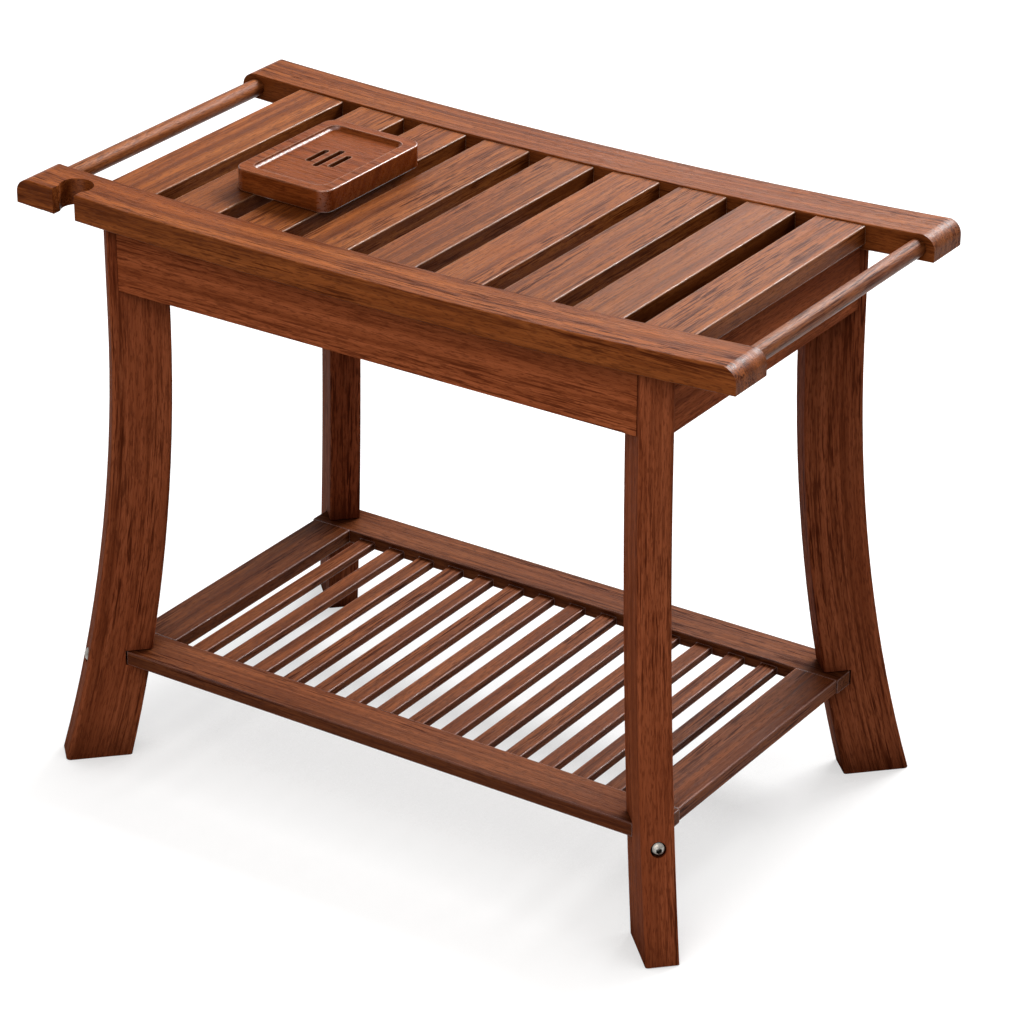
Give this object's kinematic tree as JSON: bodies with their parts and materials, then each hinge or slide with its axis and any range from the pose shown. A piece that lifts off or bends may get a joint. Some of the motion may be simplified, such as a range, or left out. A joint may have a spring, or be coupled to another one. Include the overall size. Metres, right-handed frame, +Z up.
{
  "type": "shower bench",
  "caption": "Slatted teak shower bench with a dished seat, splayed corner legs, towel bars at both ends, a keyhole holder, a lower shelf and a loose soap dish.",
  "frame": {"origin": "on the floor, under the middle of the bench", "axes": "+X along the bench, away from the end with the keyhole holder; +Y from the front, where the holder opens, to the back; +Z up"},
  "size_m": [0.6, 0.3614, 0.4654],
  "materials": {
    "teak_seat": "satin oiled teak",
    "teak_apron": "satin oiled teak, darker",
    "teak_leg": "satin oiled teak, upright grain",
    "teak_shelf": "satin oiled teak, open grain",
    "bolt_steel": "satin stainless steel",
    "insert_brass": "plain machined brass"
  },
  "bodies": {
    "bench": {"apron_dowels": "teak_seat", "block_bolts": "bolt_steel", "front_apron": "teak_apron", "front_left_block": "teak_apron", "front_left_leg": "teak_leg", "front_rail": "teak_seat", "front_right_block": "teak_apron", "front_right_leg": "teak_leg", "left_apron": "teak_apron", "left_towel_bar": "teak_seat", "leg_inserts": "insert_brass", "rear_apron": "teak_apron", "rear_left_block": "teak_apron", "rear_left_leg": "teak_leg", "rear_rail": "teak_seat", "rear_right_block": "teak_apron", "rear_right_leg": "teak_leg", "right_apron": "teak_apron", "right_towel_bar": "teak_seat", "seat_slat_1": "teak_seat", "seat_slat_2": "teak_seat", "seat_slat_3": "teak_seat", "seat_slat_4": "teak_seat", "seat_slat_5": "teak_seat", "seat_slat_6": "teak_seat", "seat_slat_7": "teak_seat", "seat_slat_8": "teak_seat", "seat_slat_9": "teak_seat", "shelf_bolts": "bolt_steel", "shelf_front_board": "teak_shelf", "shelf_inserts": "insert_brass", "shelf_left_board": "teak_shelf", "shelf_rear_board": "teak_shelf", "shelf_right_board": "teak_shelf", "shelf_slat_01": "teak_shelf", "shelf_slat_02": "teak_shelf", "shelf_slat_03": "teak_shelf", "shelf_slat_04": "teak_shelf", "shelf_slat_05": "teak_shelf", "shelf_slat_06": "teak_shelf", "shelf_slat_07": "teak_shelf", "shelf_slat_08": "teak_shelf", "shelf_slat_09": "teak_shelf", "shelf_slat_10": "teak_shelf", "shelf_slat_11": "teak_shelf", "shelf_slat_12": "teak_shelf", "shelf_slat_13": "teak_shelf", "shelf_slat_14": "teak_shelf"},
    "soap_dish": {"soap_dish": "teak_seat"}
  },
  "joints": [
    {"name": "soap_dish_lift", "type": "slide", "parent": "bench", "child": "soap_dish", "axis": [0, 0, 1], "range_m": [0, 0.12]}
  ]
}
